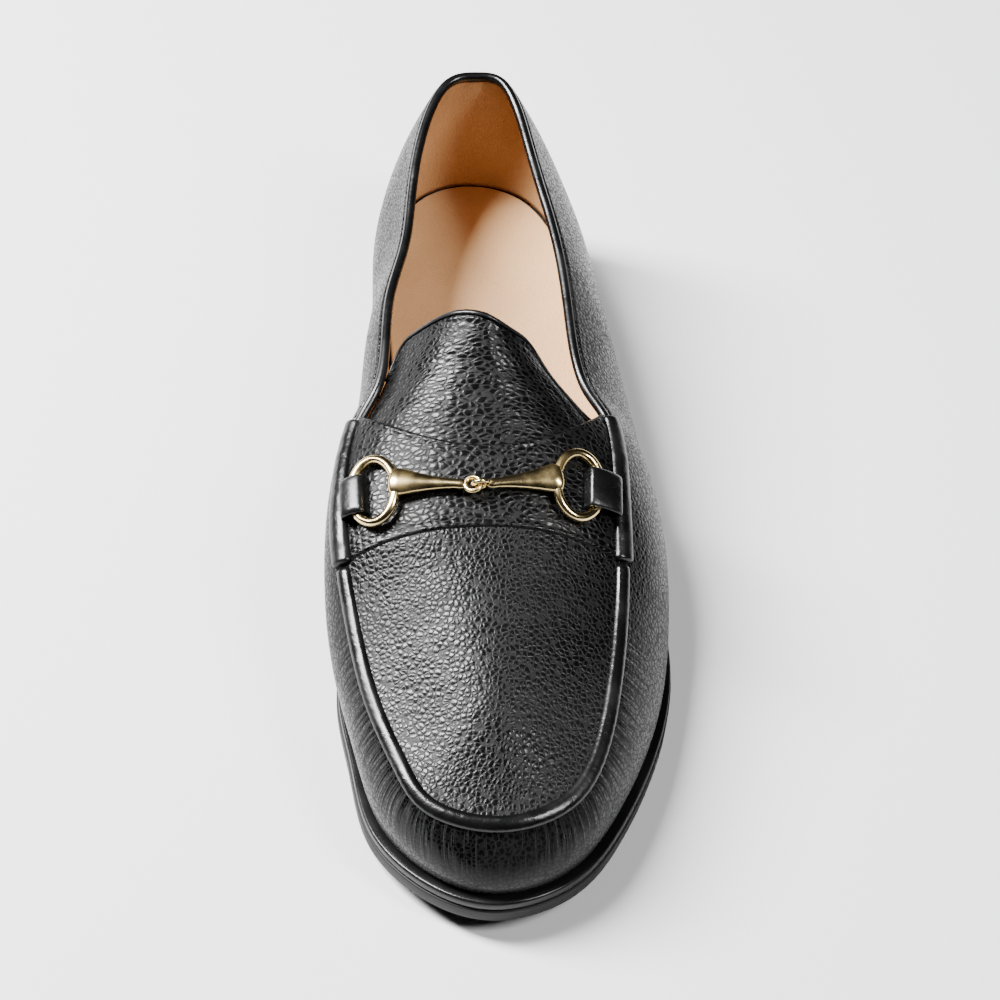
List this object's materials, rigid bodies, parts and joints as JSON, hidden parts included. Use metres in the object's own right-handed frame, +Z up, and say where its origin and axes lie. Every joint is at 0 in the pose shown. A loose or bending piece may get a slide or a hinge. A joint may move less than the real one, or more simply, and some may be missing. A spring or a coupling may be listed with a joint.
{
  "type": "bit loafer",
  "caption": "Left leather bit loafer with a piped moccasin seam, saddle strap, metal snaffle bit across it, welt, leather sole and low stacked heel.",
  "frame": {"origin": "middle of the shoe's footprint box, on the floor", "axes": "+Z up; +Y from the toe to the heel, so the toe points to -Y; +X towards the outer (lateral) side of this left shoe"},
  "size_m": [0.111, 0.3, 0.0923],
  "materials": {
    "apron_piping": "black smooth leather, glossy",
    "bit_bar_lateral": "pale champagne gold plating, polished",
    "bit_bar_medial": "pale champagne gold plating, polished",
    "bit_ring_lateral": "pale champagne gold plating, polished",
    "bit_ring_medial": "pale champagne gold plating, polished",
    "collar_binding": "black smooth leather, glossy",
    "heel_block": "stacked heel leather, dyed black",
    "heel_top_lift": "black rubber top lift",
    "insole": "tan leather sock lining",
    "outsole": "sole leather, edge dyed black, satin",
    "ring_keeper_lateral": "black leather",
    "ring_keeper_medial": "black leather",
    "saddle_strap": "black tumbled leather, soft gloss",
    "side_roll_lateral": "black smooth leather, glossy",
    "side_roll_medial": "black smooth leather, glossy",
    "tongue": "black tumbled leather, soft gloss",
    "tongue_binding": "black smooth leather, glossy",
    "upper": "black tumbled leather, soft gloss",
    "welt": "welt leather, dyed black, polished"
  },
  "bodies": {
    "root": {"apron_piping": "apron_piping", "bit_bar_lateral": "bit_bar_lateral", "bit_bar_medial": "bit_bar_medial", "bit_ring_lateral": "bit_ring_lateral", "bit_ring_medial": "bit_ring_medial", "collar_binding": "collar_binding", "heel_block": "heel_block", "heel_top_lift": "heel_top_lift", "insole": "insole", "outsole": "outsole", "ring_keeper_lateral": "ring_keeper_lateral", "ring_keeper_medial": "ring_keeper_medial", "saddle_strap": "saddle_strap", "side_roll_lateral": "side_roll_lateral", "side_roll_medial": "side_roll_medial", "tongue": "tongue", "tongue_binding": "tongue_binding", "upper": "upper", "welt": "welt"}
  },
  "joints": []
}
